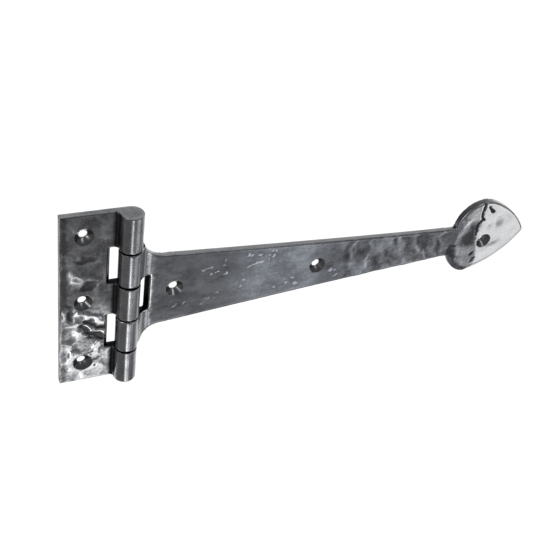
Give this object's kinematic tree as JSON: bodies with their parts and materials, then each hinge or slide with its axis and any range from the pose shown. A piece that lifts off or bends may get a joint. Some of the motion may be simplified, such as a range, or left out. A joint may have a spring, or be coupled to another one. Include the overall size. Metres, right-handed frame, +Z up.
{
  "type": "strap hinge",
  "caption": "Surface-mounted strap hinge: an upright plate leaf pinned to a long tapered strap leaf that ends in a spear head, both countersunk for wood screws.",
  "frame": {"origin": "centre of the plate leaf's middle screw hole, on the mounting plane that both flat backs lie in", "axes": "+X along the strap towards the tip of the head, +Z up the pin, -Y out of the wall towards the front of the hinge"},
  "size_m": [0.2744, 0.0114, 0.102],
  "materials": {
    "plate_iron": "pewter patina, hammered and dressed",
    "strap_iron": "pewter patina, hammered and dressed",
    "pin_steel": "ground flush"
  },
  "bodies": {
    "plate": {"plate_leaf": "plate_iron", "hinge_pin": "pin_steel"},
    "strap": {"strap_leaf": "strap_iron"}
  },
  "joints": [
    {"name": "strap_swing", "type": "hinge", "parent": "plate", "child": "strap", "pos_m": [0.0215, -0.0057, 0], "axis": [0, 0, -1], "range_deg": [-107, 186]}
  ]
}
